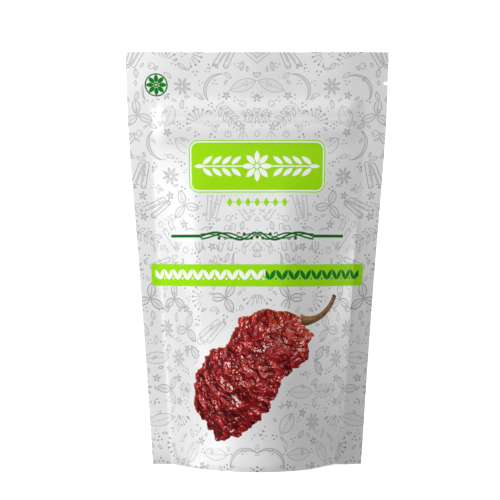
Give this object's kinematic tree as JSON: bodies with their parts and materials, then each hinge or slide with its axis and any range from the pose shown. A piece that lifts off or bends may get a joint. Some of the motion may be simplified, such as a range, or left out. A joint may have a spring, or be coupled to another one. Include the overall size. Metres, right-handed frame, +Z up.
{
  "type": "stand-up zip pouch",
  "caption": "Filled stand-up pouch of printed metallised film with heat-sealed edges, a folded bottom gusset, a press-to-close zip, a tear notch, and dried chilli pods inside.",
  "frame": {"origin": "on the surface that the pouch stands on, under the middle of its base", "axes": "+X along the pouch's width, towards the edge with the tear notch; +Y from the printed front to the back; +Z up, from the base to the top seal"},
  "size_m": [0.13, 0.0628, 0.204],
  "materials": {
    "printed_film": "satin white ink over metallised film, with printed ornament",
    "gusset_film": "satin metallised film, unprinted",
    "zip_plastic": "milky extruded polythene",
    "dried_skin": "dark red wrinkled dry skin"
  },
  "bodies": {
    "root": {"front_panel": "printed_film", "back_panel": "printed_film", "bottom_gusset": "gusset_film", "zip_ridge_strip": "zip_plastic", "zip_groove_strip": "zip_plastic", "chilli_pod_1": "dried_skin", "chilli_pod_2": "dried_skin", "chilli_pod_3": "dried_skin", "chilli_pod_4": "dried_skin", "chilli_pod_5": "dried_skin", "chilli_pod_6": "dried_skin", "chilli_pod_7": "dried_skin", "chilli_pod_8": "dried_skin", "chilli_pod_9": "dried_skin"}
  },
  "joints": []
}
